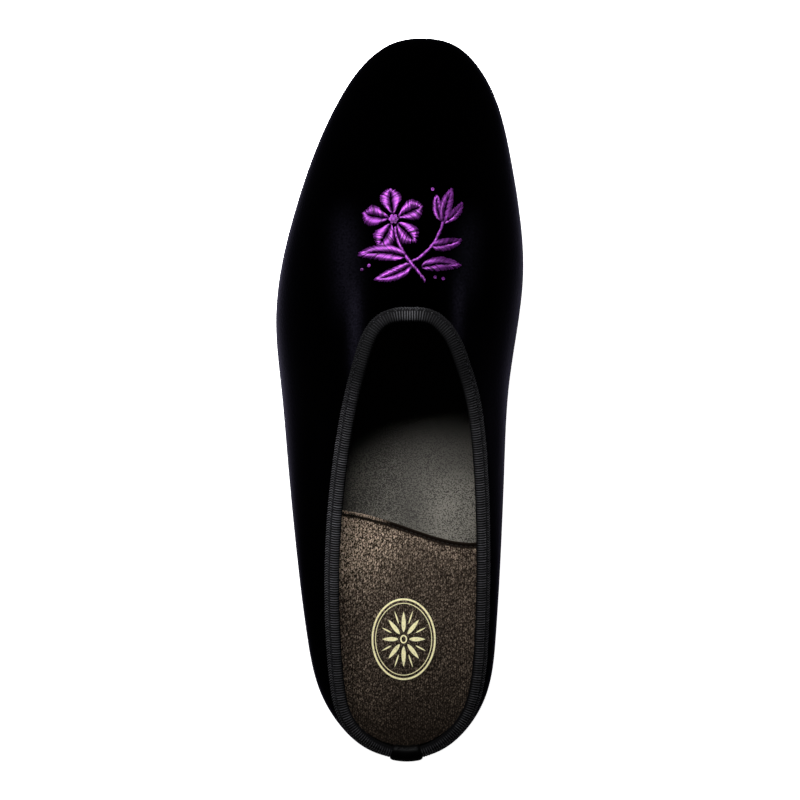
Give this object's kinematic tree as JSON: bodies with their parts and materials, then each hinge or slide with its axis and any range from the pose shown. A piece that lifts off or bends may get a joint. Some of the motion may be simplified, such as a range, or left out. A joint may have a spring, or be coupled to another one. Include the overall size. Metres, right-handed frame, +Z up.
{
  "type": "embroidered mule",
  "caption": "Low-backed velvet slip-on mule for the left foot: hollow upper, ribbon-bound foot opening, leather insole and heel pad, thin leather sole and low heel.",
  "frame": {"origin": "on the floor, under the middle of the shoe's bounding box", "axes": "+Y along the shoe to the toe, +X to the inner (medial) side of a left foot, +Z up"},
  "size_m": [0.0993, 0.2896, 0.0609],
  "materials": {
    "velvet": "black cotton velvet with a short dense pile and purple satin-stitch embroidery",
    "grosgrain": "black ribbed grosgrain ribbon, folded and stitched",
    "tab_leather": "smooth black leather",
    "sock_leather": "grey fine-grained lining leather",
    "pad_leather": "bronze-brown leather pressed with a small pebbled grain in rows",
    "sole_leather": "dark dyed sole leather",
    "heel_leather": "black waxed stacked leather"
  },
  "bodies": {
    "root": {"upper": "velvet", "collar_binding": "grosgrain", "heel_tab": "tab_leather", "insole": "sock_leather", "heel_pad": "pad_leather", "outsole": "sole_leather", "heel": "heel_leather"}
  },
  "joints": []
}
